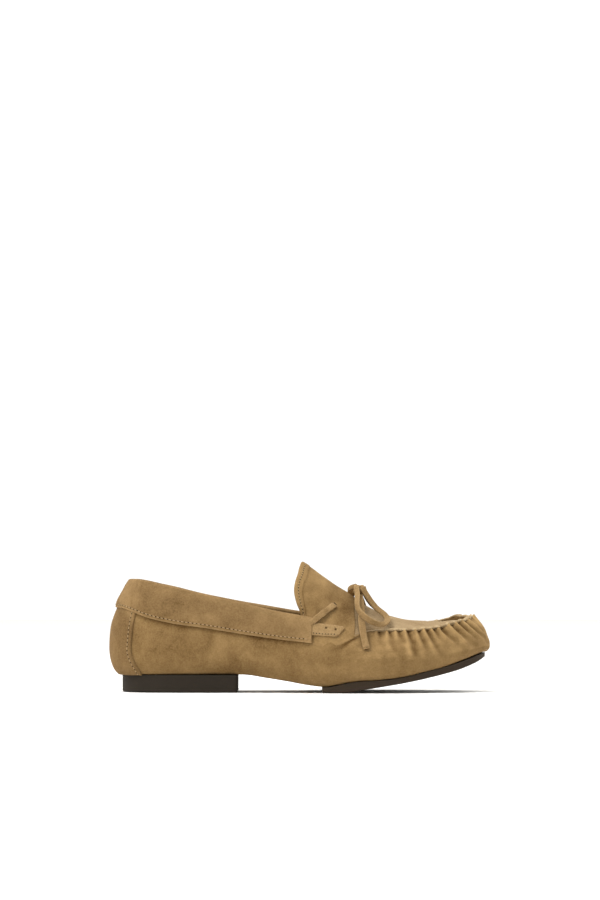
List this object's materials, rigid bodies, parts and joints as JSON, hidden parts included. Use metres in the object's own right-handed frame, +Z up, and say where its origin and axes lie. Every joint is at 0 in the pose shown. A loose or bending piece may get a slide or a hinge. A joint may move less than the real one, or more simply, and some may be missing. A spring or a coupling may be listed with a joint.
{
  "type": "moccasin",
  "caption": "Right-foot suede moccasin with a gathered apron toe, folded collar, saddle and tongue, lace bow, low rubber heel and half sole.",
  "frame": {"origin": "on the ground, under the middle of the shoe's length and width", "axes": "+X from heel to toe, +Y to the big-toe (medial) side, +Z up"},
  "size_m": [0.2868, 0.1005, 0.0971],
  "materials": {
    "body_suede": "napped suede",
    "collar_suede": "napped suede, a little lighter",
    "plug_suede": "napped suede, lightest",
    "lace_suede": "cut suede lace",
    "lining_leather": "smooth lining leather",
    "board": "pressed fibre board",
    "sole_rubber": "matte brown rubber",
    "heel_rubber": "matte dark brown rubber",
    "steel": "plain steel"
  },
  "bodies": {
    "shoe": {"heel_block": "heel_rubber", "heel_top_lift": "heel_rubber", "heel_nails": "steel", "half_sole": "sole_rubber", "moccasin_body": "body_suede", "insole_board": "board", "waist_shank": "steel", "sock_liner": "lining_leather", "collar_band": "collar_suede", "back_strip": "collar_suede", "heel_counter": "board", "heel_lining": "lining_leather", "apron_plug": "plug_suede", "saddle": "collar_suede", "lace_tab_lateral": "collar_suede", "lace_tab_medial": "collar_suede", "collar_lace": "lace_suede", "lace_span_lateral": "lace_suede", "lace_span_medial": "lace_suede", "lace_knot": "lace_suede"},
    "tongue_flap": {"tongue": "collar_suede"},
    "bow_lateral": {"bow_loop_lateral": "lace_suede", "bow_tail_lateral": "lace_suede"},
    "bow_medial": {"bow_loop_medial": "lace_suede", "bow_tail_medial": "lace_suede"}
  },
  "joints": [
    {"name": "tongue_bend", "type": "hinge", "parent": "shoe", "child": "tongue_flap", "pos_m": [0.014, 0, 0.0882], "axis": [0, 1, 0], "range_deg": [0, 30], "stiffness_Nm_per_rad": 0.3},
    {"name": "bow_lateral_lift", "type": "hinge", "parent": "shoe", "child": "bow_lateral", "pos_m": [0.0436, 0.002, 0.0758], "axis": [-1, 0, 0], "range_deg": [0, 50]},
    {"name": "bow_medial_lift", "type": "hinge", "parent": "shoe", "child": "bow_medial", "pos_m": [0.0436, 0.002, 0.0758], "axis": [1, 0, 0], "range_deg": [0, 50]}
  ]
}
